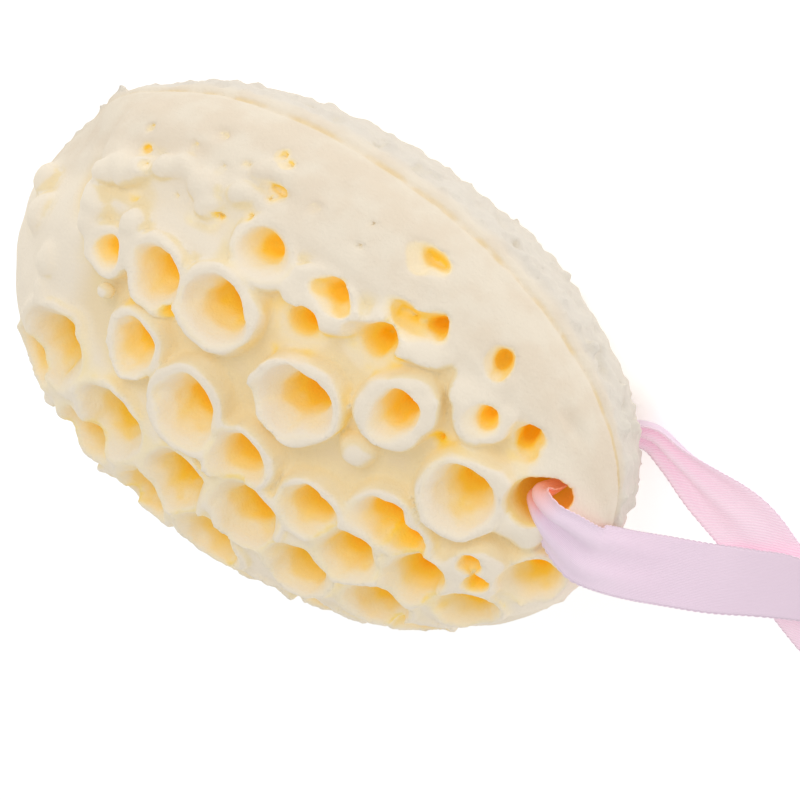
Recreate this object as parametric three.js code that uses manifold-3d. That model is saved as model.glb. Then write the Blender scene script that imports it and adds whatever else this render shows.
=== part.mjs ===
// A moulded foam bath sponge with open honeycomb cells and a satin hanging ribbon, in millimetres, +Z up.
// The sponge lies on its flat back at z = 0, its long axis is X, and the ribbon leaves its tip at +X.
import * as THREE from "three";
import { mergeVertices } from "three/addons/utils/BufferGeometryUtils.js";
import Module from "manifold-3d";

const wasm = await Module();
wasm.setup();
const { clamp, degToRad, lerp, radToDeg, smoothstep } = THREE.MathUtils;

// The egg that the rims and the skin reach, with its parting line at SEAM_HEIGHT
const LENGTH = 132;
const WIDTH = 90;
const SEAM_HEIGHT = 24;
const DOME_HEIGHT = 32;
const BACK_DEPTH = 37;
const PLAN_POWER = 2.15;
const DOME_POWER = 2.5;
const BACK_POWER = 2.1;
const TAPER = 0.06;
const BACK_TAPER = -0.12;

// The honeycomb floor between the cells lies this far under the egg
const VALLEY_DEPTH = 4.5;
const SKIN_EDGE = 43;
const SKIN_BLEND = 7;
const TIP_SKIN = 50;
const TIP_BLEND = 6;
const BLUNT_SKIN = -56;
const BACK_EDGE = 170;

// Sides of the round shapes, and the size of the slivers left out where they meet
const SLIVER = 0.12;
const EGG_SIDES = 32;
const CELL_SIDES = 8;
const PIT_SIDES = 7;
const LUMP_ROWS = 5;

// The flattened shoulder of the blunt end: place, reach and depth
const SHOULDER = { x: -60, angle: 40, reach: 16, depth: 3.5 };

// A cell's wall: how deep its foot stands, where its round rim starts, and how much lower its top lies
const WALL_FOOT = -8;
const RIM_START = -1.8;
const RIM_TOP = -0.4;
const RIM_ROUND = 1;

// A cell's hollow: its pit's share of the mouth, where pit and bowl end, and the flare above the rim
const PIT_SHARE = 0.45;
const PIT_TOP = 0.75;
const BOWL_SHARE = 0.9;
const BOWL_TOP = 0.25;
const MOUTH_FLARE = 0.6;
const CUT_FLARE = 1.4;
const CUT_HEIGHT = 3.5;

// Cells were cast on pins that draw out upwards, so their walls and hollows lean from the egg's normal to +Z
const WALL_LEAN = 0.15;
const HOLLOW_LEAN = 0.4;

// Rimmed cells: place along X, angle round the egg (0 at +Y, 90 on top), rim and mouth radius, depth
const CELLS = [
  [11, 79, 9, 7.2, 12],
  [28.1, 67, 7.6, 4.7, 11],
  [-10, 69, 8.6, 6.6, 11],
  [-8.5, 91, 9, 6.4, 11],
  [4, 94, 7.6, 5.8, 10],
  [-24, 88, 7.2, 5.6, 10],
  [-24, 70, 7.6, 6, 10],
  [-6.5, 47.5, 6.8, 5.2, 7],
  [7.6, 50.3, 6.8, 4, 8],
  [23.7, 42.5, 7.2, 4.4, 9],
  [42.2, 52.6, 5.4, 3.1, 7],
  [20, 97, 7.2, 5.6, 10],
  [33, 92, 6.6, 5.2, 9],
  [44.5, 80, 8.7, 6.8, 10],
  [-36, 72, 5.4, 3.4, 6],
  [-43, 105.5, 10, 8.4, 10],
  [-24.8, 109, 9.8, 8.3, 9],
  [-7.6, 112, 8.6, 7.2, 9],
  [8.4, 108.5, 8.8, 7.4, 10],
  [20.5, 121, 7.4, 6.2, 8],
  [29, 106, 7.2, 6, 9],
  [42, 108.5, 7, 5.8, 9],
  [51.3, 101, 6.4, 4.8, 9],
  [60.5, 106, 5.6, 4.4, 6],
  [-50, 130, 6.6, 4.8, 8],
  [-32, 128, 7, 5.2, 9],
  [-16, 130, 7.4, 5.6, 9],
  [0, 129, 7.4, 5.6, 9],
  [36, 133, 7.2, 5.6, 9],
  [51, 128, 6.6, 5, 8],
  [-40, 152, 6.8, 5, 8],
  [-23, 153, 7, 5.2, 8],
  [-7, 153, 7, 5.2, 8],
  [11, 151, 7.2, 5.4, 8],
  [26, 153, 6.8, 5, 8],
  [43, 153, 6.6, 4.8, 8],
];

// Pits without a rim: place, angle, mouth radius and depth
const PITS = [
  [5.2, 61.8, 4.6, 10],
  [18.9, 54.4, 5, 11],
  [49.9, 49, 3.6, 9],
  [39.4, 29, 2.6, 7],
  [20.5, 15, 1.8, 5],
  [16.5, 16, 1.4, 4],
  [59, 79, 6, 8],
];

// Knobs and lumps: place, angle, radius and height of the top over the egg
const LUMP_FLATNESS = 0.7;
const LUMPS = [
  [24.3, 83.5, 3.8, -1.2],
  [-34.4, 83.4, 2.2, -1],
  [-61, 60.6, 3.4, 0.8],
  [-57, 80.4, 4, 0.8],
  [-50.6, 88.1, 3.6, 0.7],
  [-45, 47.7, 3, 0.7],
  [-40.6, 44.6, 3.1, 0.8],
  [-36.5, 41, 2.8, 0.7],
  [-31.8, 36.7, 3, 0.9],
  [-45.3, 60.6, 3.6, 0.7],
  [-24.5, 39.1, 4, 1],
  [-16.5, 34.2, 3.5, 1.2],
  [-14.9, 20.2, 3.9, 1.5],
  [-33.7, 60.5, 3.6, 0.6],
  [-43.8, 16, 5, 0.7],
];

// The hole for the ribbon runs down through the tip
const CHANNEL_RADIUS = 4.6;
const CHANNEL_TOP = [55.3, 11.4, 42];
const CHANNEL_BOTTOM = [54, 11, 2];

// Satin ribbon: width, thickness, and its closed route with the direction of its width at each point
const RIBBON_WIDTH = 12.7;
const RIBBON_THICKNESS = 0.6;
const RIBBON_STEPS = 72;
const ROUTE = [
  { at: [55.2, 10.8, 24], across: [0.41, 0.91, 0], gather: 0.5 },
  { at: [55.2, 11.2, 32.5], across: [0.46, 0.89, 0], gather: 0.5 },
  { at: [54.4, 11.7, 38.2], across: [0.31, 0.82, 0.48], gather: 0.48 },
  { at: [57, 10.3, 39.8], across: [0.37, 0.88, 0.3], gather: 0.62 },
  { at: [60.7, 7.5, 38.3], across: [0.25, 0.97, 0.05], gather: 0.93 },
  { at: [65.6, 3.5, 34.7], across: [0, 0.98, -0.18], gather: 1 },
  { at: [67.9, 1.1, 30], across: [-0.25, 0.88, -0.41], gather: 1 },
  { at: [71.3, -3.1, 21.5], across: [-0.37, 0.81, -0.46], gather: 1 },
  { at: [75.7, -5.6, 14.2], across: [-0.42, 0.8, -0.43], gather: 1 },
  { at: [81.9, -5.9, 9], across: [-0.45, 0.79, -0.41], gather: 1 },
  { at: [89.5, -3.7, 5.6], across: [-0.41, 0.89, -0.18], gather: 1 },
  { at: [96.9, -0.5, 4.6], across: [-0.43, 0.9, -0.04], gather: 1 },
  { at: [108, 2.5, 5], across: [-0.35, 0.71, 0.61], gather: 1 },
  { at: [121, 7, 7], across: [-0.2, 0.3, 0.93], gather: 1 },
  { at: [134, 8.5, 7], across: [0, 0, 1], gather: 1 },
  { at: [144, 4.5, 7], across: [0, 0, 1], gather: 1 },
  { at: [147, -4, 7], across: [0, 0, 1], gather: 1 },
  { at: [141.5, -12, 7], across: [0, 0, 1], gather: 1 },
  { at: [130, -15, 6.6], across: [0, 0.29, 0.96], gather: 1 },
  { at: [117, -13, 4.6], across: [0.2, 0.74, 0.64], gather: 1 },
  { at: [106, -9.2, 1.9], across: [0.35, 0.93, 0.1], gather: 1 },
  { at: [97.1, -3.7, 1.9], across: [0.44, 0.88, -0.2], gather: 1 },
  { at: [89.8, 0.6, 2.3], across: [0.42, 0.87, -0.26], gather: 1 },
  { at: [82.8, 4.3, 2.6], across: [0.4, 0.86, -0.31], gather: 1 },
  { at: [73.6, 6.2, 2], across: [0.32, 0.93, -0.17], gather: 1 },
  { at: [65.9, 9.1, 2.6], across: [0.37, 0.92, 0.1], gather: 0.95 },
  { at: [60.3, 11.4, 3.6], across: [0.08, 0.95, 0.3], gather: 0.75 },
  { at: [56.2, 11.1, 6.4], across: [0.1, 0.98, 0.2], gather: 0.44 },
  { at: [54.6, 11, 13.5], across: [0.2, 0.98, 0], gather: 0.5 },
];

const foam = new THREE.MeshStandardMaterial({ color: 0xf0e6d0, roughness: 0.95, metalness: 0 });
const satin = new THREE.MeshStandardMaterial({ color: 0xe8d0e2, roughness: 0.4, metalness: 0 });

// A power that keeps the sign of its base
const signedPower = (value, power) => Math.sign(value) * Math.abs(value) ** power;

// A point of the egg at polar angles: round the long axis (angle) and from its ends (polar), in radians
function eggPoint(polar, angle) {
  const along = signedPower(Math.cos(polar), 2 / PLAN_POWER);
  const girth = Math.abs(Math.sin(polar)) ** (2 / PLAN_POWER) * (1 - TAPER * along);
  const rise = Math.sin(angle);
  const power = 2 / (rise > 0 ? DOME_POWER : BACK_POWER);
  const depth = rise > 0 ? DOME_HEIGHT : BACK_DEPTH * (1 - BACK_TAPER * along);
  const y = (WIDTH / 2) * girth * signedPower(Math.cos(angle), power);
  const z = SEAM_HEIGHT + depth * girth * signedPower(rise, power);
  return new THREE.Vector3((LENGTH / 2) * along, y, z);
}

// The egg's outward direction at the same polar angles
function eggNormal(polar, angle) {
  const step = 1e-3;
  const along = eggPoint(polar + step, angle).sub(eggPoint(polar - step, angle));
  const round = eggPoint(polar, angle + step).sub(eggPoint(polar, angle - step));
  return along.cross(round).normalize();
}

// The polar angle of a place x along the egg
const polarAt = (x) => Math.acos(signedPower(clamp(x / (LENGTH / 2), -1, 1), PLAN_POWER / 2));

// How far the foam lies under the egg: the honeycomb floor, which fades out at the skin, and the shoulder
function sinkAt(point, degrees) {
  const fromSkin = smoothstep(degrees, SKIN_EDGE - SKIN_BLEND, SKIN_EDGE + SKIN_BLEND);
  const fromTip = 1 - smoothstep(point.x, TIP_SKIN - TIP_BLEND, TIP_SKIN + TIP_BLEND);
  const fromEnd = smoothstep(point.x, -LENGTH / 2, BLUNT_SKIN);
  const fromBack = 1 - smoothstep(degrees, BACK_EDGE - SKIN_BLEND, BACK_EDGE);
  const shoulder = eggPoint(polarAt(SHOULDER.x), degToRad(SHOULDER.angle));
  const near = 1 - smoothstep(point.distanceTo(shoulder), 0, SHOULDER.reach);
  return VALLEY_DEPTH * fromSkin * fromTip * fromEnd * fromBack + SHOULDER.depth * near;
}

// A closed geometry as a solid that can be joined and cut
function solidOf(geometry) {
  const bare = geometry.clone();
  bare.deleteAttribute("normal");
  bare.deleteAttribute("uv");
  const merged = mergeVertices(bare, 1e-4);
  const vertProperties = new Float32Array(merged.attributes.position.array);
  const triVerts = new Uint32Array(merged.index.array);
  return new wasm.Manifold(new wasm.Mesh({ numProp: 3, vertProperties, triVerts }));
}

// A finished solid as a geometry
function geometryOf(solid) {
  const mesh = solid.getMesh();
  const geometry = new THREE.BufferGeometry();
  geometry.setAttribute("position", new THREE.BufferAttribute(mesh.vertProperties, 3));
  geometry.setIndex(new THREE.BufferAttribute(mesh.triVerts, 1));
  geometry.computeVertexNormals();
  return geometry;
}

// Stands a shape whose axis is Y on the egg, with its origin on the surface and its axis leaning up
function standOnEgg(geometry, x, degrees, lean) {
  const polar = polarAt(x);
  const angle = degToRad(degrees);
  const axis = eggNormal(polar, angle).lerp(new THREE.Vector3(0, 0, 1), lean).normalize();
  const turn = new THREE.Quaternion().setFromUnitVectors(new THREE.Vector3(0, 1, 0), axis);
  return geometry.applyQuaternion(turn).translate(...eggPoint(polar, angle).toArray());
}

// A turned shape from [radius, height] pairs, from its lowest point on the axis to its highest
function turned(profile, segments) {
  const points = profile.map(([radius, height]) => new THREE.Vector2(radius, height));
  return new THREE.LatheGeometry(points, segments);
}

// The egg with its honeycomb floor, from a sphere whose poles are turned onto the X axis
function eggBody() {
  const geometry = new THREE.SphereGeometry(1, EGG_SIDES, EGG_SIDES / 2);
  const position = geometry.attributes.position;
  for (let i = 0; i < position.count; i++) {
    const polar = Math.acos(clamp(position.getY(i), -1, 1));
    const angle = Math.atan2(position.getX(i), position.getZ(i));
    const point = eggPoint(polar, angle);
    const onPole = Math.sin(polar) < 1e-6;
    const normal = onPole ? new THREE.Vector3(Math.sign(point.x), 0, 0) : eggNormal(polar, angle);
    point.addScaledVector(normal, -sinkAt(point, radToDeg(angle)));
    position.setXYZ(i, point.x, point.y, point.z);
  }
  return solidOf(geometry);
}

// The raised wall of a cell, as a plug with a rounded rim
function cellWall([x, degrees, rim]) {
  const foot = [[0, WALL_FOOT], [rim, WALL_FOOT]];
  const profile = [...foot, [rim, RIM_START], [rim - RIM_ROUND, RIM_TOP], [0, RIM_TOP]];
  return solidOf(standOnEgg(turned(profile, CELL_SIDES), x, degrees, WALL_LEAN));
}

// The hollow of a cell: a rounded mouth, a bowl and a narrower pit
function cellHollow([x, degrees, , mouth, depth]) {
  const bowl = [[0, -depth], [mouth * PIT_SHARE, -depth * PIT_TOP], [mouth * BOWL_SHARE, -depth * BOWL_TOP]];
  const opening = [[mouth + MOUTH_FLARE, RIM_TOP], [mouth + CUT_FLARE, CUT_HEIGHT], [0, CUT_HEIGHT]];
  return solidOf(standOnEgg(turned([...bowl, ...opening], CELL_SIDES), x, degrees, HOLLOW_LEAN));
}

// A pit without a rim
function pitHollow([x, degrees, mouth, depth]) {
  const floor = [[0, -depth], [mouth * PIT_SHARE, -depth * PIT_TOP], [mouth, -VALLEY_DEPTH / 2]];
  const opening = [[mouth + MOUTH_FLARE, CUT_HEIGHT], [0, CUT_HEIGHT]];
  return solidOf(standOnEgg(turned([...floor, ...opening], PIT_SIDES), x, degrees, HOLLOW_LEAN));
}

// A round lump, flattened along the egg's outward direction
function lump([x, degrees, radius, top]) {
  const half = radius * LUMP_FLATNESS;
  const ball = new THREE.SphereGeometry(radius, PIT_SIDES, LUMP_ROWS).scale(1, LUMP_FLATNESS, 1);
  return solidOf(standOnEgg(ball.translate(0, top - half, 0), x, degrees, WALL_LEAN));
}

// The ribbon's hole: a straight round channel between two points
function channel() {
  const from = new THREE.Vector3(...CHANNEL_BOTTOM);
  const to = new THREE.Vector3(...CHANNEL_TOP);
  const run = to.clone().sub(from);
  const length = run.length();
  const top = length + CUT_HEIGHT;
  const profile = [[0, -CUT_HEIGHT], [CHANNEL_RADIUS, -CUT_HEIGHT], [CHANNEL_RADIUS, top], [0, top]];
  const turn = new THREE.Quaternion().setFromUnitVectors(new THREE.Vector3(0, 1, 0), run.normalize());
  return solidOf(turned(profile, CELL_SIDES).applyQuaternion(turn).translate(...CHANNEL_BOTTOM));
}

// The flat back that the sponge rests on
function underside() {
  return solidOf(new THREE.BoxGeometry(2 * LENGTH, 2 * WIDTH, BACK_DEPTH).translate(0, 0, -BACK_DEPTH / 2));
}

// The sponge itself, without the loose crumbs left between neighbouring hollows
const largest = (solids) => solids.reduce((a, b) => (a.volume() > b.volume() ? a : b));

function spongeSolid() {
  const join = (whole, piece) => whole.add(piece);
  const cut = (whole, piece) => whole.subtract(piece);
  const walls = [...CELLS.map(cellWall), ...LUMPS.map(lump)];
  const hollows = [...CELLS.map(cellHollow), ...PITS.map(pitHollow), channel(), underside()];
  const cutOut = hollows.reduce(cut, walls.reduce(join, eggBody())).simplify(SLIVER);
  return largest(cutOut.decompose());
}

// The ribbon's centre line, width direction and gathered width at a share of its length
function ribbonAt(share, curve) {
  const place = share * ROUTE.length;
  const before = ROUTE[Math.floor(place) % ROUTE.length];
  const after = ROUTE[(Math.floor(place) + 1) % ROUTE.length];
  const blend = place % 1;
  const tangent = curve.getTangent(share);
  const across = new THREE.Vector3(...before.across).lerp(new THREE.Vector3(...after.across), blend);
  across.addScaledVector(tangent, -across.dot(tangent)).normalize();
  const width = RIBBON_WIDTH * lerp(before.gather, after.gather, blend);
  return { centre: curve.getPoint(share), across, face: tangent.cross(across), width };
}

// The closed strip, from a ring of four sides whose corners are carried onto the route
function ribbonGeometry() {
  const curve = new THREE.CatmullRomCurve3(ROUTE.map(({ at }) => new THREE.Vector3(...at)), true);
  const geometry = new THREE.TorusGeometry(2, 1, 4, RIBBON_STEPS);
  const position = geometry.attributes.position;
  for (let i = 0; i < position.count; i++) {
    const step = i % (RIBBON_STEPS + 1);
    const corner = Math.floor(i / (RIBBON_STEPS + 1)) % 4;
    const { centre, across, face, width } = ribbonAt((step % RIBBON_STEPS) / RIBBON_STEPS, curve);
    const side = corner === 0 || corner === 3 ? 1 : -1;
    const layer = corner < 2 ? -1 : 1;
    centre.addScaledVector(across, (side * width) / 2).addScaledVector(face, (layer * RIBBON_THICKNESS) / 2);
    position.setXYZ(i, centre.x, centre.y, centre.z);
  }
  return geometry;
}

const part = new THREE.Group();

const sponge = new THREE.Mesh(geometryOf(spongeSolid()), foam);
sponge.name = "sponge";
part.add(sponge);

const ribbon = new THREE.Mesh(ribbonGeometry(), satin);
ribbon.name = "ribbon";
part.add(ribbon);

export default part;
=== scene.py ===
"""A moulded foam bath sponge with honeycomb cells and a satin ribbon loop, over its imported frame."""
import math

import bpy
import numpy as np
import openvdb
from mathutils import Matrix, Vector


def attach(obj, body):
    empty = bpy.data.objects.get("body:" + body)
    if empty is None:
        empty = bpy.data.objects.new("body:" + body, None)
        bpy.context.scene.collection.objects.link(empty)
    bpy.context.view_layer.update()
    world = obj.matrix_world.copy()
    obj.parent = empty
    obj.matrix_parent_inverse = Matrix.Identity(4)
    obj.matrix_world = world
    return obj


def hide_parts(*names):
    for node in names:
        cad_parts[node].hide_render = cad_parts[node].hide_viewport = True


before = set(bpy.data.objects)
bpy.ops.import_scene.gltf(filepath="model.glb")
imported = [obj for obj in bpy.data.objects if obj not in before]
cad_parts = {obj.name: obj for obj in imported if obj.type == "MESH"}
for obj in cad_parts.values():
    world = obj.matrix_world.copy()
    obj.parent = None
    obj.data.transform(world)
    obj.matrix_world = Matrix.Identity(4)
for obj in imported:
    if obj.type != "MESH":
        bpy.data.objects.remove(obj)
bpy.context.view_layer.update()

# Shapes are worked out in millimetres, as in the part's source, and put down in metres
MM = 0.001
rng = np.random.default_rng(7)

# The egg that the rims and the skin reach
LENGTH = 132.0
WIDTH = 90.0
SEAM_HEIGHT = 24.0
DOME_HEIGHT = 32.0
BACK_DEPTH = 37.0
PLAN_POWER = 2.15
DOME_POWER = 2.5
BACK_POWER = 2.1
TAPER = 0.06
BACK_TAPER = -0.12

# The honeycomb floor: its depth, and the angles and places where it rises to the skin
VALLEY_DEPTH = 5.5
SKIN_EDGE = 43.0
SKIN_BLEND = 7.0
TIP_SKIN = 50.0
TIP_BLEND = 6.0
TIP_SKIN_DROP = 9.0
TIP_DROP_ANGLES = (68.0, 90.0)
BLUNT_SKIN = -56.0
BACK_EDGE = 170.0

# Shares by which that floor is shallower among the lumps, and where the lower cells share their walls
LUMPY_RISE = 0.65
LUMPY_PLACES = (-16.0, -2.0)
LUMPY_ANGLES = (56.0, 68.0)
BLUNT_PLACES = (-46.0, -34.0)
SHARED_WALLS = 0.7
SHARED_ANGLES = (88.0, 104.0)

# The flattened shoulder of the blunt end: place and angle, reach and depth
SHOULDER_PLACE = (-60.0, 40.0)
SHOULDER_REACH = 16.0
SHOULDER_DEPTH = 3.5

# Rimmed cells: place along X, angle round the egg (0 at +Y, 90 on top), rim and mouth radius, depth
CELLS = [
    (11, 79, 9, 7.2, 12),
    (28.1, 67, 7.6, 4.7, 11),
    (-10, 69, 8.6, 6.6, 11),
    (-8.5, 91, 9, 6.4, 11),
    (4, 94, 7.6, 5.8, 10),
    (-24, 88, 7.2, 5.6, 10),
    (-24, 70, 7.6, 6, 10),
    (-6.5, 47.5, 6.8, 5.2, 7),
    (42.2, 52.6, 5.2, 3.1, 7),
    (20, 97, 7.2, 5.6, 10),
    (33, 92, 6.6, 5.2, 9),
    (44.5, 80, 8.7, 6.8, 10),
    (-36, 72, 5.4, 3.4, 6),
    (-43, 105.5, 10, 8.8, 10),
    (-24.8, 109, 9.8, 8.7, 9),
    (-7.6, 112, 8.8, 7.8, 9),
    (8.4, 108.5, 8.8, 7.7, 10),
    (20.5, 121, 8, 7, 8),
    (29, 106, 7.2, 6, 9),
    (38.4, 95.5, 5, 3.9, 9),
    (42, 108.5, 7.2, 6.2, 9),
    (60.5, 106, 6.6, 5.6, 7),
    (-50, 130, 7.4, 6.4, 8),
    (-32, 129, 8, 6.9, 9),
    (-16, 131, 8.2, 7.1, 9),
    (1, 131, 8.2, 7.1, 9),
    (36, 130, 8, 6.9, 9),
    (51.5, 126, 7.2, 6.2, 8),
    (-40, 152, 6.8, 5, 8),
    (-23, 153, 7, 5.2, 8),
    (-7, 153, 7, 5.2, 8),
    (11, 151, 7.2, 5.4, 8),
    (26, 153, 6.8, 5, 8),
    (43, 153, 6.6, 4.8, 8),
]

# Cups whose mouths are slits or pits, as walls alone: place, angle, radius and how much longer along X
CUPS = [
    (7.6, 50.3, 5.8, 1.35),
    (23.7, 42.5, 5.2, 1.6),
    (38.5, 40, 5.4, 1),
    (51.3, 101, 6.4, 1),
]

# Pits without a rim: place, angle, mouth radius, depth and how many times longer along X
PITS = [
    (8.6, 47, 2.9, 9, 1.5),
    (22.4, 39.8, 2.8, 8, 1.8),
    (26.6, 37, 3, 10, 1.3),
    (27.5, 32.6, 1.4, 8, 1),
    (5.2, 61.8, 5.6, 12, 1),
    (18.9, 54.4, 5.8, 12, 1),
    (49.9, 49, 4.2, 12, 1),
    (39.4, 29, 2.8, 8, 1),
    (18.8, 16.8, 2.5, 7, 2),
    (49.7, 95.8, 2, 9, 1),
    (51.7, 104.6, 2.3, 9, 1),
]

# Knobs and lumps: place, angle, radius and height of the top over the egg
LUMPS = [
    (24.3, 83.5, 3.8, -1.2),
    (-34.4, 83.4, 1.9, -1),
    (-63, 60.6, 3.4, 0.8),
    (-58.8, 80.4, 4, 0.8),
    (-50.6, 88.1, 3.6, 0.7),
    (-49, 94.5, 3, 0.4),
    (-43.6, 47.9, 3, 1.8),
    (-40.9, 45.2, 3.2, 2),
    (-37.3, 43.3, 3, 1.9),
    (-32.3, 38.5, 2.9, 1.7),
    (-29, 35.4, 2.8, 1.7),
    (-23.3, 38.4, 3.8, 2),
    (-20.9, 42.8, 3.4, 0.9),
    (-16, 34.9, 3, 2),
    (-15.3, 25.3, 2.8, 1.7),
    (-13.2, 21.5, 3, 1.8),
    (-43.5, 60.7, 3.9, 1.6),
    (-42.8, 67.4, 2.9, 1.1),
    (-32.6, 59.7, 3, 1.7),
    (-43.8, 16, 5, 0.7),
    (56, 80, 6.5, 1.3),
]

# Soft hollows in the skin: place, angle, reach along and around, and depth
DENTS = [
    (-36, 35, 7, 2.2, 1.6),
    (-29.5, 29, 4, 2, 0.9),
    (-37, 51, 6, 2.4, 1.3),
    (-28, 46, 6, 3.2, 1.4),
    (-18.5, 46.5, 6, 3.4, 1.6),
    (-12, 39.5, 3.5, 2, 1.6),
    (-11.5, 29, 4, 1.6, 1.5),
    (-51, 38, 3, 10, 2),
    (-49.5, 58, 3, 6, 2),
    (-27, 17.8, 2.5, 1.6, 0.8),
    (-56, 36, 7, 9, 1.8),
    (-56, -4, 6, 6, -1.2),
    (54, 22, 4, 1.5, 1.2),
]

# Small pits: place, angle, mouth radius, depth and, for long ones, how many times longer along X
SMALL_PITS = [
    (6.9, 19.5, 0.9, 1.8),
    (7.7, 29, 0.9, 1.6),
    (-38.9, 35.2, 1.2, 3.4),
    (-35.9, 39.8, 1, 3),
    (-40.7, 24.2, 1.1, 2.4),
    (-26.7, 18, 1.2, 2.4, 1.9),
    (-30.1, 26.8, 1.2, 2.6),
    (-22.3, 30, 1.1, 2.6),
    (-18.8, 25.2, 1.1, 2.6),
    (-14.9, 15.2, 1.1, 2.6),
    (-12.5, 17.6, 1.1, 2.6),
    (-11.9, 28.2, 0.9, 3, 2.4),
    (-11.2, 32, 1.2, 3),
    (-18, 45.8, 1.1, 4, 2.6),
    (-23, 51.5, 1.1, 4.4),
    (-18.2, 50, 1.1, 4.8),
    (-15.1, 46.8, 1.1, 4.6),
    (-12.5, 40.8, 1.1, 3.4),
    (-36.4, 53.8, 1.1, 4),
    (-28.2, 47.2, 1.1, 4.4),
    (-3, 26.2, 1.1, 2.4),
    (1.7, 72.2, 1.3, 8),
    (36.2, 70, 1.6, 8),
    (-19, 78, 2.2, 8),
    (-29, 80, 2, 8),
]

# The ribbon's hole, from its top to its bottom, and how far past them it is cut
CHANNEL_RADIUS = 4.6
CHANNEL_TOP = (55.3, 11.4, 42.0)
CHANNEL_BOTTOM = (54.0, 11.0, 2.0)
CHANNEL_OVERRUN = 0.2

# Satin ribbon: its closed route, the direction of its width at each point, and how far it is gathered
RIBBON_WIDTH = 12.7
RIBBON_THICKNESS = 0.3
ROUTE = [
    ((55.2, 10.8, 24), (0.41, 0.91, 0), 0.5),
    ((55.2, 11.2, 32.5), (0.46, 0.89, 0), 0.5),
    ((54.4, 11.7, 38.2), (0.31, 0.82, 0.48), 0.48),
    ((57, 10.3, 39.8), (0.37, 0.88, 0.3), 0.58),
    ((60.7, 7.5, 38.3), (0.25, 0.97, 0.05), 0.76),
    ((65.6, 3.5, 34.7), (0, 0.98, -0.18), 0.88),
    ((67.9, 1.1, 30), (-0.25, 0.88, -0.41), 0.94),
    ((71.3, -3.1, 21.5), (-0.37, 0.81, -0.46), 0.98),
    ((75.7, -5.6, 14.2), (-0.42, 0.8, -0.43), 1),
    ((81.9, -5.9, 9), (-0.45, 0.79, -0.41), 1),
    ((89.5, -3.7, 5.6), (-0.41, 0.89, -0.18), 1),
    ((96.9, -0.5, 4.6), (-0.43, 0.9, -0.04), 1),
    ((108, 2.5, 5), (-0.35, 0.71, 0.61), 1),
    ((121, 7, 7), (-0.2, 0.3, 0.93), 1),
    ((134, 8.5, 7), (0, 0, 1), 1),
    ((144, 4.5, 7), (0, 0, 1), 1),
    ((147, -4, 7), (0, 0, 1), 1),
    ((141.5, -12, 7), (0, 0, 1), 1),
    ((130, -15, 6.6), (0, 0.29, 0.96), 1),
    ((117, -13, 4.6), (0.2, 0.74, 0.64), 1),
    ((106, -9.2, 1.9), (0.35, 0.93, 0.1), 1),
    ((97.1, -3.7, 1.9), (0.44, 0.88, -0.2), 1),
    ((89.8, 0.6, 2.3), (0.42, 0.87, -0.26), 1),
    ((82.8, 4.3, 2.6), (0.4, 0.86, -0.31), 0.97),
    ((73.6, 6.2, 2), (0.32, 0.93, -0.17), 0.8),
    ((65.9, 9.1, 2.6), (0.37, 0.92, 0.1), 0.6),
    ((60.3, 11.4, 3.6), (0.08, 0.95, 0.3), 0.55),
    ((56.2, 11.1, 6.4), (0.1, 0.98, 0.2), 0.44),
    ((54.6, 11, 13.5), (0.2, 0.98, 0), 0.5),
]

# The ribbon's mesh: steps along and columns across, pleats where it is gathered, and its looped edges
RIBBON_STEP = 0.4
RIBBON_COLUMNS = 24
ROUTE_SAMPLES = 4000
PLEATS = 2
STEEPEST_PLEAT = 2.2
TIGHTEST_GATHER = 0.45
PICOT_PITCH = 1.2
PICOT_HEIGHT = 0.24

# The grid of voxels that the foam is worked out on
VOXEL = 0.77
GRID_LOW = np.array([-70.0, -49.0, -3.0])
GRID_HIGH = np.array([70.0, 49.0, 60.0])
FIELD_BAND = 3.0
BEYOND_EGG = 1.2

# Random unevenness of the foam: spacing of its lumps in voxels, and the waves round a rim
WOBBLE_SPACING = 12
RIPPLE_SPACING = 6
CRUMB_SPACING = 2.5
RIM_WAVES = (2, 3, 5)
WAVE_RANGE = (0.5, 1.2)

# Cells were cast on pins that draw out upwards, so their hollows lean from the egg's normal towards +Z
DRAW = np.array([0.0, 0.0, 1.0])
WALL_LEAN = 0.2
HOLLOW_LEAN = 0.52

# A cell's wall: its round rim, flare, blend into the floor, and how uneven its outline and its top are
RIM_ROUND = 1.1
WALL_FLARE = 0.12
FLARE_DEPTH = 5.0
WALL_BLEND = 0.9
WALL_REACH = 9.0
WALL_UNEVEN = 0.1
WALL_RIPPLE = 0.4
WALL_CRUMB = 0.12
TOP_UNEVEN = 0.4
TOP_RIPPLE = 0.3
TOP_CRUMB = 0.22

# Lumps: flatness, blend, and how uneven they are
LUMP_FLATNESS = 1.1
LUMP_BLEND = 0.8
LUMP_REACH = 6.0
LUMP_UNEVEN = 0.2
LUMP_RIPPLE = 0.3

# Hollows: share of a funnel in their shape, its curve and mouth, soft lips, unevenness and reach
FUNNEL = 0.5
FUNNEL_POWER = 2.5
MOUTH_FLARE = 0.04
FLARE_RISE = 3.0
WALL_SCALE = 0.9
MOUTH_SHARE = 1.07
DEPTH_SHARE = 1.35
CELL_LIP = 0.8
PIT_LIP = 0.5
LIP_BASE = 1.3
CELL_UNEVEN = 0.15
PIT_UNEVEN = 0.2
CUT_RIPPLE = 0.35
CUT_CRUMB = 0.2
CUT_REACH = 7.0
HOLLOW_EDGE = (0.95, 1.25)
DENT_REACH = 6.0

# The ribbon's hole is marked as a hollow more strongly than a cell, with a soft edge, so that its walls take
# deeper painted shade
CHANNEL_BLEND = 1.0
CHANNEL_HOLLOW = 1.4
CHANNEL_EDGE = (1.0, 1.5)

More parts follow.
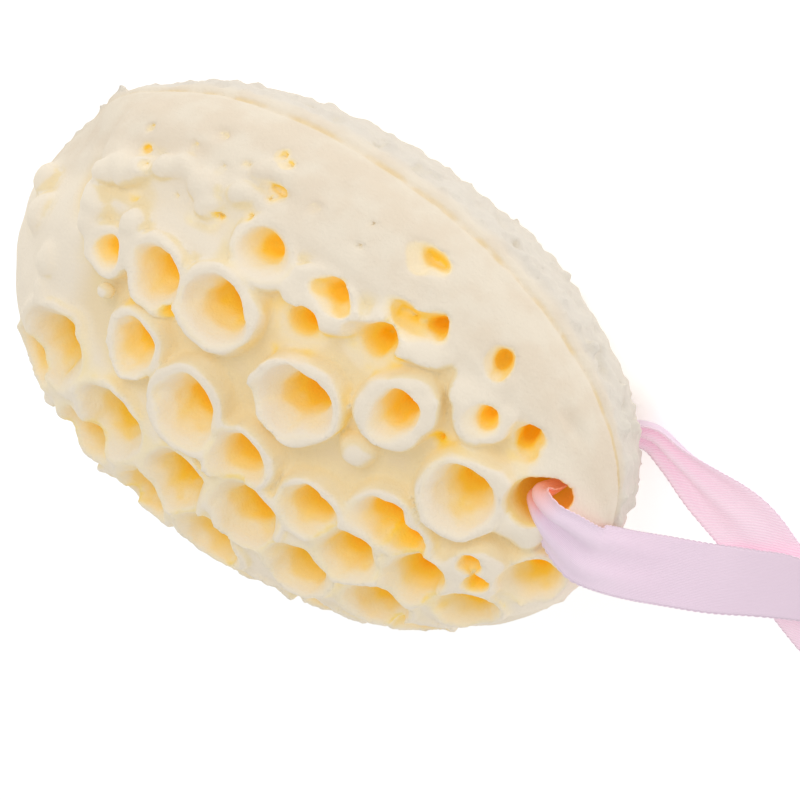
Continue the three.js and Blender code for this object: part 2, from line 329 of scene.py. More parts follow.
# The crumbly back beyond the parting line, the groove of that line, and the skin's soft unevenness
BACK_ANGLES = (-9.0, -3.0)
FAR_BACK_ANGLES = (176.0, 180.0)
BACK_COARSE = (0.5, 3)
BACK_FINE = (0.35, 2)
PARTING_ANGLE = -1.0
PARTING_WIDTH = 1.3
PARTING_DEPTH = 0.9
SKIN_ROUGH = (0.14, 5)
BASE_BLEND = 1.0

# How far out the room around a point is felt for
SHELTER_STEPS = (2.0, 4.0, 7.0, 11.0)

# Painted shade of the foam, deeper and deeper in a cell: tones between which it comes in, and its screen
# colour
HOLLOW_PAINTED_SHADES = [
    (0.05, 0.30, (249, 234, 200)),
    (0.26, 0.50, (246, 220, 148)),
    (0.46, 0.70, (245, 207, 76)),
    (0.68, 0.92, (246, 186, 14)),
]

# The foam's other screen colours, among them painted shade for the honeycomb floor, the crevices and the
# parting line
SKIN_PALE = (242, 230, 210)
SKIN_WARM = (238, 223, 201)
HONEYCOMB_CREAM = (252, 240, 220)
FLOOR_SHADE_CREAM = (248, 229, 192)
CREVICE_SHADE_YELLOW = (249, 231, 188)
PARTING_SHADE_OCHRE = (238, 212, 160)
BACK_GREY = (231, 224, 213)

# Where the foam's colours and painted shades come in: from, to and, where given, the shares at both ends
HONEYCOMB_ANGLES = (24.0, 50.0)
FLOOR_SHADE_DEPTHS = (2.4, 5.2)
CREVICE_SHADE_SPAN = (0.12, 0.4, 0.0, 0.8)
LOWER_CELL_SHADE_SPAN = (80.0, 108.0, -0.07, 0.04)
BACK_SPAN = (-2.0, -10.0, 0.0, 0.8)
CRUMB_SPAN = (-2.0, -8.0, 0.0, 2.5)

# Painted glow in the foam's hollows and on its honeycomb, standing in for light that comes through the foam,
# and the scales of its mottling and grain
CELL_GLOW = 0.18
WALL_GLOW = 0.05
MOTTLE_SCALE = 140.0
CRUMB_SCALE = 500.0
GRAIN_SCALE = 1400.0

# Satin: colours of the woven back, the smooth face and the threads, a painted coral shade on the stretch in
# the hole; weave, and a painted glow on both sides
SATIN_PINK = (247, 215, 230)
SATIN_LILAC = (245, 223, 239)
THREAD_LIGHT = (255, 236, 244)
IN_HOLE_SHADE_CORAL = (252, 160, 124)
IN_HOLE_SHADE_SPAN = (12.0, 20.0, 1.0, 0.0)
TWILL_WAVES = 9.0
FLOAT_WAVES = 22.0
SATIN_GLOW = (0.18, 0.06)

# The pale floor and the one soft light, in metres and watts
FLOOR_HALF = 3.0
KEY_PLACE = (-0.15, 0.75, 0.75)
KEY_SIZE = 0.5
KEY_POWER = 1.6
KEY_TARGET = (0.0, 0.0, 0.03)
STUDIO_STRENGTH = 0.7

# The photograph's view: direction, turn of the frame, distance, and where the egg's middle falls in it
PHOTO_SIDE = 800
CAMERA_AZIMUTH = math.radians(151)
CAMERA_ELEVATION = math.radians(49)
CAMERA_ROLL = math.radians(235)
CAMERA_DISTANCE = 600.0
PIXELS_PER_MM = 5.3
MIDDLE_PIXEL = (318.3, 360.5)
SENSOR_WIDTH = 36.0
CLIP_START = 0.01


def smoothstep(value, low, high):
    share = np.clip((value - low) / (high - low), 0, 1)
    return share * share * (3 - 2 * share)


def signed_power(value, power):
    return np.sign(value) * np.abs(value) ** power


def smooth_min(first, second, radius):
    share = np.clip(0.5 + 0.5 * (second - first) / radius, 0, 1)
    return second + (first - second) * share - radius * share * (1 - share)


def smooth_max(first, second, radius):
    return -smooth_min(-first, -second, radius)


def unit(vector):
    vector = np.asarray(vector, dtype=float)
    return vector / np.linalg.norm(vector)


# Camera

def view_axes():
    """The directions towards the camera, to the picture's right and to its top."""
    turn, rise = CAMERA_AZIMUTH, CAMERA_ELEVATION
    back = np.array([math.sin(turn) * math.cos(rise), -math.cos(turn) * math.cos(rise), math.sin(rise)])
    level = np.array([math.cos(turn), math.sin(turn), 0.0])
    upright = np.cross(back, level)
    right = level * math.cos(CAMERA_ROLL) + upright * math.sin(CAMERA_ROLL)
    top = -level * math.sin(CAMERA_ROLL) + upright * math.cos(CAMERA_ROLL)
    return back, right, top


def make_camera():
    back, right, top = view_axes()
    middle = np.array([0, 0, SEAM_HEIGHT])
    place = middle + back * CAMERA_DISTANCE
    half = PHOTO_SIDE / 2
    aim = middle + right * (half - MIDDLE_PIXEL[0]) / PIXELS_PER_MM
    aim = aim - top * (half - MIDDLE_PIXEL[1]) / PIXELS_PER_MM
    backward = unit(place - aim)
    across = unit(np.cross(top, backward))
    upward = np.cross(backward, across)
    data = bpy.data.cameras.new("camera")
    data.sensor_width = SENSOR_WIDTH
    data.lens = SENSOR_WIDTH * CAMERA_DISTANCE * PIXELS_PER_MM / PHOTO_SIDE
    data.clip_start = CLIP_START
    camera = bpy.data.objects.new("camera", data)
    columns = Matrix((across, upward, backward)).transposed().to_4x4()
    camera.matrix_world = Matrix.Translation(Vector(place * MM)) @ columns
    bpy.context.scene.collection.objects.link(camera)
    bpy.context.scene.camera = camera


# Ribbon

def closed_spline(values, share):
    """A closed Catmull-Rom curve through rows of values, at shares of its whole run."""
    count = len(values)
    place = share * count
    index = np.floor(place).astype(int)
    t = (place - index)[:, None]
    before, start, end, after = (values[(index + k) % count] for k in (-1, 0, 1, 2))
    linear = (end - before) * t
    square = (2 * before - 5 * start + 4 * end - after) * t ** 2
    cube = (3 * start - before - 3 * end + after) * t ** 3
    return start + 0.5 * (linear + square + cube)


def ribbon_frames():
    """Even stations along the ribbon: centre, width and face directions and gather, and the whole length."""
    rows = np.array([[*at, *unit(across), gather] for at, across, gather in ROUTE], dtype=float)
    fine = np.linspace(0, 1, ROUTE_SAMPLES, endpoint=False)
    dense = closed_spline(rows, fine)
    gaps = np.linalg.norm(np.diff(dense[:, :3], axis=0, append=dense[:1, :3]), axis=1)
    run = np.concatenate([[0], np.cumsum(gaps)])
    count = int(run[-1] / RIBBON_STEP)
    even = np.interp(np.linspace(0, run[-1], count, endpoint=False), run, np.append(fine, 1.0))
    values = closed_spline(rows, even % 1.0)
    centre = values[:, :3]
    tangent = np.roll(centre, -1, axis=0) - np.roll(centre, 1, axis=0)
    tangent /= np.linalg.norm(tangent, axis=1, keepdims=True)
    across = values[:, 3:6]
    across -= tangent * np.sum(across * tangent, axis=1, keepdims=True)
    across /= np.linalg.norm(across, axis=1, keepdims=True)
    face = np.cross(tangent, across)
    return centre, across, face, np.clip(values[:, 6], TIGHTEST_GATHER, 1.0), run[-1]


def pleat_slope(gather):
    """The steepest slope of the pleats that draw a strip in to gather times its width."""
    slopes = np.linspace(0, STEEPEST_PLEAT, 400)
    wave = np.sin(PLEATS * math.pi * np.linspace(-1, 1, 401))
    drawn = np.cos(slopes[:, None] * wave[None, :]).mean(axis=1)
    return np.interp(-gather, -drawn, slopes)


def ribbon_section(gather, layer, distance):
    """Offsets across and along the face for one side of the strip, for every station and column."""
    column = np.linspace(-1, 1, RIBBON_COLUMNS)
    middle = (column[1:] + column[:-1]) / 2
    slope = pleat_slope(gather)[:, None] * np.sin(PLEATS * math.pi * middle)[None, :]
    step = RIBBON_WIDTH / (RIBBON_COLUMNS - 1)
    side = np.pad(np.cumsum(np.cos(slope), axis=1) * step, ((0, 0), (1, 0)))
    side -= side.mean(axis=1, keepdims=True)
    wave = np.pad(np.cumsum(np.sin(slope), axis=1) * step, ((0, 0), (1, 0)))
    wave -= wave.mean(axis=1, keepdims=True)
    edge = np.trunc(column)
    picot = PICOT_HEIGHT * np.abs(np.sin(math.pi * distance / PICOT_PITCH))
    return side + picot[:, None] * edge[None, :], wave + layer * RIBBON_THICKNESS / 2


def ribbon_layer(frames, layer, distance):
    """The points of one side of the strip, for every station and column."""
    centre, across, face, gather = (values[:, None] for values in frames)
    side, lift = ribbon_section(gather[:, 0], layer, distance)
    return centre + across * side[:, :, None] + face * lift[:, :, None]


def make_ribbon(material):
    *frames, length = ribbon_frames()
    centre = frames[0]
    count = len(centre)
    distance = np.arange(count) * length / count
    top, under = (ribbon_layer(frames, layer, distance) for layer in (1, -1))
    ring = np.concatenate([top, under[:, ::-1]], axis=1)
    ring[:, :, 2] = np.maximum(ring[:, :, 2], RIBBON_THICKNESS / 2)
    columns = ring.shape[1]
    station, column = np.meshgrid(np.arange(count), np.arange(columns), indexing="ij")
    ahead = (station + 1) % count
    beside = (column + 1) % columns
    corners = [(station, column), (station, beside), (ahead, beside), (ahead, column)]
    quads = np.stack([a * columns + b for a, b in corners], axis=-1).reshape(-1, 4)
    mesh = bpy.data.meshes.new("ribbon_strip")
    mesh.from_pydata((ring.reshape(-1, 3) * MM).tolist(), [], quads.tolist())
    satin_side = mesh.attributes.new("satin_side", "FLOAT", "POINT")
    on_top = np.arange(columns) < RIBBON_COLUMNS
    satin_side.data.foreach_set("value", np.tile(on_top, count).astype(np.float32))
    weave = mesh.attributes.new("weave", "FLOAT_VECTOR", "POINT")
    place = np.zeros((count, columns, 3), dtype=np.float32)
    place[:, :, 0] = distance[:, None]
    steps = np.linspace(-1, 1, RIBBON_COLUMNS) * RIBBON_WIDTH / 2
    place[:, :, 1] = np.concatenate([steps, steps[::-1]])[None, :]
    weave.data.foreach_set("vector", place.ravel())
    mesh.polygons.foreach_set("use_smooth", [True] * len(mesh.polygons))
    mesh.materials.append(material)
    ribbon = bpy.data.objects.new("ribbon_strip", mesh)
    bpy.context.scene.collection.objects.link(ribbon)
    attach(ribbon, "root")
    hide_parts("ribbon")


# Sponge

def grid_axes():
    counts = np.ceil((GRID_HIGH - GRID_LOW) / VOXEL).astype(int) + 1
    x, y, z = (low + VOXEL * np.arange(n) for low, n in zip(GRID_LOW, counts))
    return x[:, None, None], y[None, :, None], z[None, None, :]


def smooth_noise(shape, spacing):
    """Soft random lumps about 0, with one lattice step every spacing voxels."""
    coarse = rng.standard_normal([int(n / spacing) + 3 for n in shape])
    for axis, count in enumerate(shape):
        place = np.arange(count) / spacing
        index = place.astype(int)
        sizes = [-1 if k == axis else 1 for k in range(len(shape))]
        share = smoothstep(place - index, 0, 1).reshape(sizes)
        coarse = coarse.take(index, axis) * (1 - share) + coarse.take(index + 1, axis) * share
    return coarse.astype(np.float32)


def egg_point(x, degrees):
    """A point of the egg at a place along X and an angle round it."""
    along = np.clip(x / (LENGTH / 2), -1, 1)
    girth = (1 - abs(along) ** PLAN_POWER) ** (1 / PLAN_POWER) * (1 - TAPER * along)
    angle = math.radians(degrees)
    rise = math.sin(angle)
    power = 2 / (DOME_POWER if rise > 0 else BACK_POWER)
    depth = DOME_HEIGHT if rise > 0 else BACK_DEPTH * (1 - BACK_TAPER * along)
    y = WIDTH / 2 * girth * signed_power(math.cos(angle), power)
    z = SEAM_HEIGHT + depth * girth * signed_power(rise, power)
    return np.array([x, y, z])


def egg_frame(x, degrees):
    """The egg's point, outward direction and two directions along its surface."""
    step = 0.05
    point = egg_point(x, degrees)
    along = unit(egg_point(x + step, degrees) - egg_point(x - step, degrees))
    turn = egg_point(x, degrees + step) - egg_point(x, degrees - step)
    normal = unit(np.cross(turn, along))
    return point, normal, along, np.cross(normal, along)


def egg_fields(x, y, z):
    """For every voxel: distance from the egg (positive outside) and angle round it in degrees."""
    along = x / (LENGTH / 2)
    inner = np.clip(along, -BEYOND_EGG, BEYOND_EGG)
    taper = 1 - TAPER * inner
    up = z - SEAM_HEIGHT
    deep = BACK_DEPTH * (1 - BACK_TAPER * inner)
    side = y / (WIDTH / 2 * taper)
    rise = np.where(up > 0, up / (DOME_HEIGHT * taper), up / (deep * taper))
    power = np.where(up > 0, DOME_POWER, BACK_POWER)
    girth = (np.abs(side) ** power + np.abs(rise) ** power) ** (1 / power)
    level = (girth ** PLAN_POWER + np.abs(along) ** PLAN_POWER) ** (1 / PLAN_POWER)
    slope = np.sqrt(sum(g ** 2 for g in np.gradient(level, VOXEL)))
    distance = (level - 1) / np.maximum(slope, 1e-4)
    angle = np.degrees(np.arctan2(signed_power(rise, power / 2), signed_power(side, power / 2)))
    return distance.astype(np.float32), angle.astype(np.float32)


class Foam:
    """The sponge as a field of distances on a grid of voxels."""

    def __init__(self):
        self.axes = grid_axes()
        self.height, self.angle = egg_fields(*self.axes)
        self.shape = self.height.shape
        self.wobble = smooth_noise(self.shape, WOBBLE_SPACING)
        self.ripple = smooth_noise(self.shape, RIPPLE_SPACING)
        self.crumb = smooth_noise(self.shape, CRUMB_SPACING)
        self.skin = self.height + self.shoulder()
        self.field = self.skin + self.sink()
        self.hollow = np.zeros(self.shape, dtype=np.float32)

    def shoulder(self):
        """How far the blunt end is flattened."""
        middle = egg_point(*SHOULDER_PLACE)
        away = np.sqrt(sum((axis - at) ** 2 for axis, at in zip(self.axes, middle)))
        return SHOULDER_DEPTH * (1 - smoothstep(away, 0, SHOULDER_REACH))

    def sink(self):
        """How far the honeycomb floor lies under the skin."""
        x = self.axes[0]
        floor = smoothstep(self.angle, SKIN_EDGE - SKIN_BLEND, SKIN_EDGE + SKIN_BLEND)
        floor = floor * (1 - SHARED_WALLS * smoothstep(self.angle, *SHARED_ANGLES))
        lumpy = (1 - smoothstep(x, *LUMPY_PLACES)) * (1 - smoothstep(self.angle, *LUMPY_ANGLES))
        blunt = 1 - smoothstep(x, *BLUNT_PLACES)
        floor = floor * (1 - LUMPY_RISE * np.maximum(lumpy, blunt))
        tip = TIP_SKIN + TIP_SKIN_DROP * smoothstep(self.angle, *TIP_DROP_ANGLES)
        floor = floor * (1 - smoothstep(x, tip - TIP_BLEND, tip + TIP_BLEND))
        floor = floor * smoothstep(x, -LENGTH / 2, BLUNT_SKIN)
        floor = floor * (1 - smoothstep(self.angle, BACK_EDGE - SKIN_BLEND, BACK_EDGE))
        return VALLEY_DEPTH * floor

    def near(self, place, reach):
        """The block of voxels within reach of a place, as slices."""
        low = np.floor((place - reach - GRID_LOW) / VOXEL).astype(int)
        high = np.ceil((place + reach - GRID_LOW) / VOXEL).astype(int) + 1
        return tuple(slice(max(a, 0), min(b, n)) for a, b, n in zip(low, high, self.shape))

    def gaps(self, block, point):
        """How far a block's voxels lie from a point, along each axis."""
        kept = zip(self.axes, block, self.shape, point)
        return [np.take(a, range(*s.indices(n)), k) - p for k, (a, s, n, p) in enumerate(kept)]

    def local(self, x, degrees, reach, lean, stretch=1.0):
        """The block around a place on the egg, with distance, turn and rise along a leaning axis."""
        point, normal, along, _ = egg_frame(x, degrees)
        axis = unit(normal * (1 - lean) + DRAW * lean)
        first = unit(along - axis * axis.dot(along))
        second = np.cross(axis, first)
        block = self.near(point, reach)
        gaps = self.gaps(block, point)
        ahead, beside, rise = (sum(g * d for g, d in zip(gaps, way)) for way in (first, second, axis))
        uphill = math.atan2(second[2], first[2])
        return block, np.hypot(ahead / stretch, beside), np.arctan2(beside, ahead) - uphill, rise

    def unevenness(self, turn, amount):
        """A rim's radius factor round its turn."""
        factor = 1.0
        for waves in RIM_WAVES:
            phase = rng.uniform(0, 2 * math.pi)
            factor = factor + amount / waves * rng.uniform(*WAVE_RANGE) * np.cos(waves * turn + phase)
        return factor

    def add_wall(self, x, degrees, rim, stretch=1.0):
        """A cell's wall, as a plug that stands on the floor, with a round rim."""
        block, radius, turn, _ = self.local(x, degrees, rim * stretch + WALL_REACH, WALL_LEAN, stretch)
        fields = (self.height, self.wobble, self.ripple, self.crumb)
        height, wobble, ripple, crumb = (field[block] for field in fields)
        radius = radius / self.unevenness(turn, WALL_UNEVEN) + WALL_RIPPLE * ripple + WALL_CRUMB * crumb
        over = height - rng.uniform(-TOP_UNEVEN, TOP_UNEVEN) - TOP_UNEVEN * wobble + RIM_ROUND
        over = over + TOP_RIPPLE * ripple + TOP_CRUMB * crumb
        side = radius - (rim - RIM_ROUND) - WALL_FLARE * np.clip(-height - 1, 0, FLARE_DEPTH)
        outside = np.hypot(np.maximum(side, 0), np.maximum(over, 0))
        wall = np.minimum(np.maximum(side, over), 0) + outside - RIM_ROUND
        self.field[block] = smooth_min(self.field[block], wall, WALL_BLEND)

    def add_lump(self, x, degrees, radius, top):
        """A round lump whose top stands over the egg."""
        block, away, turn, _ = self.local(x, degrees, radius + LUMP_REACH, WALL_LEAN)
        away = away / self.unevenness(turn, LUMP_UNEVEN) + LUMP_RIPPLE * self.ripple[block]
        lump = np.hypot(away, (self.height[block] - top + radius) * LUMP_FLATNESS) - radius
        self.field[block] = smooth_min(self.field[block], lump, LUMP_BLEND)

    def cut(self, x, degrees, mouth, depth, lip, uneven, stretch=1.0):
        """A hollow between a funnel and a bowl in shape, with the softest lip on its uphill side."""
        reach = max(mouth * stretch, depth) + CUT_REACH
        block, radius, turn, rise = self.local(x, degrees, reach, HOLLOW_LEAN, stretch)
        radius = radius / self.unevenness(turn, uneven) + CUT_RIPPLE * self.ripple[block]
        radius = radius + CUT_CRUMB * self.crumb[block]
        share = np.clip(-rise / depth, 0, 1)
        funnel = FUNNEL * (1 - share) ** FUNNEL_POWER + (1 - FUNNEL) * np.sqrt(1 - share ** 2)
        wall = mouth * (funnel + MOUTH_FLARE * np.clip(rise, 0, FLARE_RISE))
        hollow = np.maximum((radius - wall) * WALL_SCALE, -rise - depth)
        hollow = np.maximum(hollow, -self.height[block] - depth)
        self.field[block] = smooth_max(self.field[block], -hollow, lip * (LIP_BASE + np.cos(turn)))
        inside = 1 - smoothstep(radius / mouth, *HOLLOW_EDGE)
        self.hollow[block] = np.maximum(self.hollow[block], inside)

    def dent(self, x, degrees, ahead, around, depth):
        """A soft shallow hollow, longer or wider as given."""
        point, normal, along, beside = egg_frame(x, degrees)
        block = self.near(point, 2 * max(ahead, around) + DENT_REACH)
        gaps = self.gaps(block, point)
        first, second = (sum(g * d for g, d in zip(gaps, way)) for way in (along, beside))
        self.field[block] += depth * np.exp(-(first / ahead) ** 2 - (second / around) ** 2)

    def cut_channel(self):
        """The ribbon's hole, straight from top to bottom."""
        low = np.array(CHANNEL_BOTTOM)
        run = np.array(CHANNEL_TOP) - low
        gaps = [a - b for a, b in zip(self.axes, low)]
        share = sum(g * r for g, r in zip(gaps, run)) / run.dot(run)
        share = np.clip(share, -CHANNEL_OVERRUN, 1 + CHANNEL_OVERRUN)
        away = np.sqrt(sum((g - share * r) ** 2 for g, r in zip(gaps, run)))
        self.field = smooth_max(self.field, CHANNEL_RADIUS - away, CHANNEL_BLEND)
        inside = 1 - smoothstep(away / CHANNEL_RADIUS, *CHANNEL_EDGE)
        self.hollow = np.maximum(self.hollow, CHANNEL_HOLLOW * inside)

    def roughen(self):
        """Soft mould lumps all over, a crumbly back, the parting line's groove and the flat base."""
        back = 1 - smoothstep(self.angle, *BACK_ANGLES)
        back = np.maximum(back, smoothstep(self.angle, *FAR_BACK_ANGLES))
        self.field += self.noise(SKIN_ROUGH)
        self.field += back * (self.noise(BACK_COARSE) + self.noise(BACK_FINE))
        self.field += PARTING_DEPTH * np.exp(-((self.angle - PARTING_ANGLE) / PARTING_WIDTH) ** 2)
        self.field = smooth_max(self.field, -self.axes[2], BASE_BLEND)

    def noise(self, amount_and_spacing):
        """Soft random lumps of an amount in millimetres, at a spacing in voxels."""
        amount, spacing = amount_and_spacing
        return amount * smooth_noise(self.shape, spacing)

    def mesh(self):
        """The foam's surface: its points, quads and triangles."""
        grid = openvdb.FloatGrid(FIELD_BAND)
        clipped = np.clip(self.field / VOXEL, -FIELD_BAND, FIELD_BAND).astype(np.float32)
        grid.copyFromArray(clipped)
        points, triangles, quads = grid.convertToPolygons(isovalue=0.0, adaptivity=0.0)
        return points * VOXEL + GRID_LOW, quads[:, ::-1], triangles[:, ::-1]

    def sample(self, values, points):
        """Values of a field at points, from the eight voxels around each."""
        place = (points - GRID_LOW) / VOXEL
        index = np.clip(np.floor(place).astype(int), 0, np.array(self.shape) - 2)
        share = place - index
        total = np.zeros(len(points))
        for corner in np.ndindex(2, 2, 2):
            weight = np.prod(np.where(np.array(corner) == 1, share, 1 - share), axis=1)
            total += weight * values[tuple((index + corner).T)]
        return total

    def shelter(self, points):
        """How closed in each point is, from 0 in the open to 1 deep in a hole."""
        slopes = np.gradient(self.field, VOXEL)
        normal = np.stack([self.sample(slope, points) for slope in slopes], axis=1)
        normal /= np.maximum(np.linalg.norm(normal, axis=1, keepdims=True), 1e-6)
        total = np.zeros(len(points))
        for step in SHELTER_STEPS:
            room = self.sample(self.field, points + normal * step)
            total += np.clip(1 - room / step, 0, 1)
        return total / len(SHELTER_STEPS)


def make_foam():
    foam = Foam()
    for dent in DENTS:
        foam.dent(*dent)
    for x, degrees, rim, *_ in CELLS:
        foam.add_wall(x, degrees, rim)
    for cup in CUPS:
        foam.add_wall(*cup)
    for lump in LUMPS:
        foam.add_lump(*lump)
    for x, degrees, _, mouth, depth in CELLS:
        foam.cut(x, degrees, mouth * MOUTH_SHARE, depth * DEPTH_SHARE, CELL_LIP, CELL_UNEVEN)
    for x, degrees, mouth, depth, *stretch in PITS + SMALL_PITS:
        foam.cut(x, degrees, mouth, depth, PIT_LIP, PIT_UNEVEN, *stretch)
    foam.cut_channel()
    foam.roughen()
    return foam


def make_sponge(material):
    foam = make_foam()
    points, quads, triangles = foam.mesh()
    mesh = bpy.data.meshes.new("sponge_foam")
    mesh.from_pydata((points * MM).tolist(), [], quads.tolist() + triangles.tolist())
    measures = {
        "depth": -foam.sample(foam.skin, points),
        "hollow": foam.sample(foam.hollow, points),
        "shelter": foam.shelter(points),
        "round_angle": foam.sample(foam.angle, points),
    }
    for name, values in measures.items():
        attribute = mesh.attributes.new(name, "FLOAT", "POINT")
        attribute.data.foreach_set("value", values)
    mesh.polygons.foreach_set("use_smooth", [True] * len(mesh.polygons))
    mesh.materials.append(material)
    sponge = bpy.data.objects.new("sponge_foam", mesh)
    bpy.context.scene.collection.objects.link(sponge)
    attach(sponge, "root")
    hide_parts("sponge")


# Materials

def srgb(red, green, blue):
    """A colour given in screen values from 0 to 255, as linear light."""
    def linear(value):
        value = value / 255
        return value / 12.92 if value <= 0.04045 else ((value + 0.055) / 1.055) ** 2.4
    return (linear(red), linear(green), linear(blue), 1.0)


class Nodes:
    """A small helper that adds and joins a material's nodes."""

    def __init__(self, name):
        self.material = bpy.data.materials.new(name)
        self.material.use_nodes = True
        self.tree = self.material.node_tree
        self.shader = self.tree.nodes["Principled BSDF"]

    def add(self, kind, settings=None, **inputs):
        node = self.tree.nodes.new(kind)
        for name, value in (settings or {}).items():
            setattr(node, name, value)
        for name, value in inputs.items():
            self.feed(node.inputs[name.replace("_", " ")], value)
        return node

    def feed(self, socket, value):
        if isinstance(value, bpy.types.NodeSocket):
            self.tree.links.new(value, socket)
        else:
            socket.default_value = value

    def math(self, operation, first, second=0.0):
        node = self.add("ShaderNodeMath", {"operation": operation})
        self.feed(node.inputs[0], first)
        self.feed(node.inputs[1], second)
        return node.outputs[0]

    def span(self, value, low, high, to_low=0.0, to_high=1.0):
        node = self.add("ShaderNodeMapRange", {"interpolation_type": "SMOOTHSTEP"})
        for name, number in (("Value", value), ("From Min", low), ("From Max", high)):
            self.feed(node.inputs[name], number)
        self.feed(node.inputs["To Min"], to_low)
        self.feed(node.inputs["To Max"], to_high)
        return node.outputs["Result"]

    def mix(self, share, first, second):
        node = self.add("ShaderNodeMix", {"data_type": "RGBA"})
        self.feed(node.inputs["Factor"], share)
        self.feed(node.inputs[6], first)
        self.feed(node.inputs[7], second)
        return node.outputs[2]

    def attribute(self, name):
        return self.add("ShaderNodeAttribute", {"attribute_name": name})

    def noise(self, scale, detail=2.0, vector=None):
        node = self.add("ShaderNodeTexNoise", Scale=scale, Detail=detail)
        if vector is not None:
            self.feed(node.inputs["Vector"], vector)
        return node.outputs["Fac"]


def foam_material():
    nodes = Nodes("foam")
    place = nodes.add("ShaderNodeTexCoord").outputs["Object"]
    depth = nodes.attribute("depth").outputs["Fac"]
    hollow = nodes.attribute("hollow").outputs["Fac"]
    shelter = nodes.attribute("shelter").outputs["Fac"]
    angle = nodes.attribute("round_angle").outputs["Fac"]
    mottle = nodes.noise(MOTTLE_SCALE, 3.0, place)
    skin = nodes.mix(nodes.span(mottle, 0.35, 0.65), srgb(*SKIN_PALE), srgb(*SKIN_WARM))
    honeycomb = nodes.span(angle, *HONEYCOMB_ANGLES)
    colour = nodes.mix(honeycomb, skin, srgb(*HONEYCOMB_CREAM))
    solid = nodes.math("SUBTRACT", 1.0, hollow)
    # Painted shade: the honeycomb floor turns a yellower cream the deeper it lies under the skin
    floor = nodes.math("MULTIPLY", nodes.span(depth, *FLOOR_SHADE_DEPTHS), solid)
    colour = nodes.mix(nodes.math("MULTIPLY", floor, honeycomb), colour, srgb(*FLOOR_SHADE_CREAM))
    # Painted shade: points that are closed in turn yellow, outside the hollows
    crevice_shade = nodes.math("MULTIPLY", nodes.span(shelter, *CREVICE_SHADE_SPAN), solid)
    colour = nodes.mix(crevice_shade, colour, srgb(*CREVICE_SHADE_YELLOW))
    # Painted shade in the hollows: its tone grows with how closed in and how deep a point lies
    painted_shade_tone = nodes.math("ADD", nodes.math("MULTIPLY", shelter, 0.7), nodes.math("MULTIPLY", depth, 0.03))
    # Cells further round the egg, turned away from the light, get more painted shade, the upper ones less
    painted_shade_tone = nodes.math("ADD", painted_shade_tone, nodes.span(angle, *LOWER_CELL_SHADE_SPAN))
    # The ribbon's hole gets deeper painted shade still
    painted_shade_tone = nodes.math("ADD", painted_shade_tone, nodes.span(hollow, 1.0, CHANNEL_HOLLOW, 0.0, 0.25))
    for low, high, shade in HOLLOW_PAINTED_SHADES:
        share = nodes.math("MULTIPLY", nodes.span(painted_shade_tone, low, high), hollow)
        colour = nodes.mix(share, colour, srgb(*shade))
    # Painted shade along the parting line's groove, mottled
    parting = nodes.math("ABSOLUTE", nodes.math("SUBTRACT", angle, PARTING_ANGLE))
    parting_shade = nodes.math("MULTIPLY", nodes.span(parting, 1.8, 0.3), nodes.span(mottle, 0.4, 0.6, 0.1, 0.7))
    colour = nodes.mix(parting_shade, colour, srgb(*PARTING_SHADE_OCHRE))
    colour = nodes.mix(nodes.span(angle, *BACK_SPAN), colour, srgb(*BACK_GREY))
    nodes.feed(nodes.shader.inputs["Base Color"], colour)
    nodes.feed(nodes.shader.inputs["Emission Color"], colour)
    # Painted glow: the foam gives out its own colour where it is closed in, most in the hollows
    cell_glow = nodes.math("MULTIPLY", hollow, CELL_GLOW)
    painted_glow = nodes.math("ADD", cell_glow, nodes.math("MULTIPLY", honeycomb, WALL_GLOW))
    nodes.feed(nodes.shader.inputs["Emission Strength"], nodes.math("MULTIPLY", shelter, painted_glow))
    nodes.shader.inputs["Roughness"].default_value = 0.9
    nodes.shader.inputs["Specular IOR Level"].default_value = 0.2
    crumbly = nodes.span(angle, *CRUMB_SPAN)
    crumbs = nodes.math("MULTIPLY", nodes.noise(CRUMB_SCALE, 4.0, place), crumbly)
    grain = nodes.math("ADD", nodes.noise(GRAIN_SCALE, 3.0, place), crumbs)
    bump = nodes.add("ShaderNodeBump", Strength=0.4, Distance=0.0004, Height=grain)
    nodes.feed(nodes.shader.inputs["Normal"], bump.outputs["Normal"])
    return nodes.material


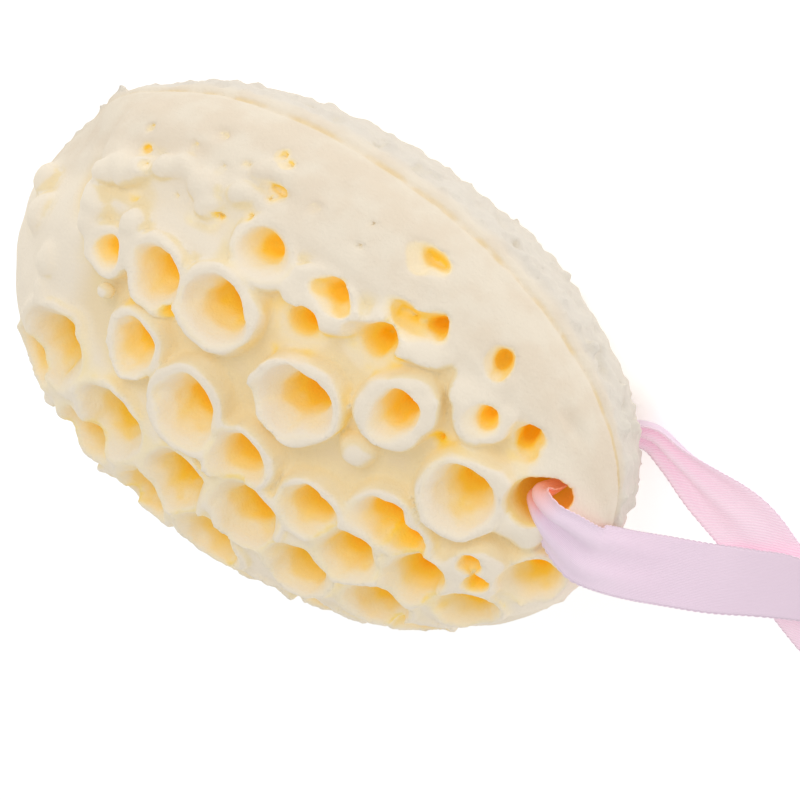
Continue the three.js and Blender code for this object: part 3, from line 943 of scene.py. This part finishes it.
def satin_material():
    nodes = Nodes("satin")
    side = nodes.attribute("satin_side").outputs["Fac"]
    place = nodes.attribute("weave").outputs["Vector"]
    split = nodes.add("ShaderNodeSeparateXYZ", Vector=place)
    colour = nodes.mix(side, srgb(*SATIN_PINK), srgb(*SATIN_LILAC))
    diagonal = nodes.math("ADD", split.outputs["X"], split.outputs["Y"])
    twill = nodes.math("SINE", nodes.math("MULTIPLY", diagonal, TWILL_WAVES))
    floats = nodes.math("SINE", nodes.math("MULTIPLY", split.outputs["Y"], FLOAT_WAVES))
    woven = nodes.math("SUBTRACT", 1.0, side)
    threads = nodes.math("MULTIPLY", nodes.span(twill, -1.0, 1.0, 0.0, 0.35), woven)
    colour = nodes.mix(threads, colour, srgb(*THREAD_LIGHT))
    # Painted coral shade on the stretch of ribbon inside the hole
    inside = nodes.span(split.outputs["X"], *IN_HOLE_SHADE_SPAN)
    colour = nodes.mix(inside, colour, srgb(*IN_HOLE_SHADE_CORAL))
    nodes.feed(nodes.shader.inputs["Base Color"], colour)
    # Painted glow: the ribbon gives out its own colour, the woven back more than the smooth face
    nodes.feed(nodes.shader.inputs["Emission Color"], colour)
    nodes.feed(nodes.shader.inputs["Emission Strength"], nodes.span(side, 0.0, 1.0, *SATIN_GLOW))
    nodes.shader.inputs["Roughness"].default_value = 0.45
    nodes.shader.inputs["Sheen Weight"].default_value = 0.3
    nodes.shader.inputs["Sheen Roughness"].default_value = 0.4
    height = nodes.add("ShaderNodeMix", {"data_type": "FLOAT"})
    nodes.feed(height.inputs["Factor"], side)
    nodes.feed(height.inputs[2], twill)
    nodes.feed(height.inputs[3], nodes.math("MULTIPLY", floats, 0.4))
    bump = nodes.add("ShaderNodeBump", Strength=0.4, Distance=0.00012, Height=height.outputs[0])
    nodes.feed(nodes.shader.inputs["Normal"], bump.outputs["Normal"])
    return nodes.material


def floor_material():
    nodes = Nodes("pale_floor")
    nodes.shader.inputs["Base Color"].default_value = (0.97, 0.97, 0.97, 1)
    nodes.shader.inputs["Roughness"].default_value = 1.0
    nodes.shader.inputs["Specular IOR Level"].default_value = 0.0
    nodes.shader.inputs["Emission Color"].default_value = (1, 1, 1, 1)
    nodes.shader.inputs["Emission Strength"].default_value = 0.35
    return nodes.material


# Stage

def make_floor():
    corners = [(-FLOOR_HALF, -FLOOR_HALF, 0), (FLOOR_HALF, -FLOOR_HALF, 0)]
    corners += [(FLOOR_HALF, FLOOR_HALF, 0), (-FLOOR_HALF, FLOOR_HALF, 0)]
    mesh = bpy.data.meshes.new("floor")
    mesh.from_pydata(corners, [], [(0, 1, 2, 3)])
    mesh.materials.append(floor_material())
    floor = bpy.data.objects.new("floor", mesh)
    bpy.context.scene.collection.objects.link(floor)


def make_light(name, place, size, power):
    data = bpy.data.lights.new(name, "AREA")
    data.shape = "DISK"
    data.size = size
    data.energy = power
    light = bpy.data.objects.new(name, data)
    light.location = place
    light.rotation_euler = (Vector(KEY_TARGET) - Vector(place)).to_track_quat("-Z", "Y").to_euler()
    bpy.context.scene.collection.objects.link(light)


def make_world():
    world = bpy.data.worlds.new("studio")
    world.use_nodes = True
    background = world.node_tree.nodes["Background"]
    background.inputs["Color"].default_value = (1, 1, 1, 1)
    background.inputs["Strength"].default_value = STUDIO_STRENGTH
    bpy.context.scene.world = world
    bpy.context.scene.view_settings.view_transform = "Standard"


make_camera()
make_ribbon(satin_material())
make_sponge(foam_material())
make_floor()
make_light("key", KEY_PLACE, KEY_SIZE, KEY_POWER)
make_world()
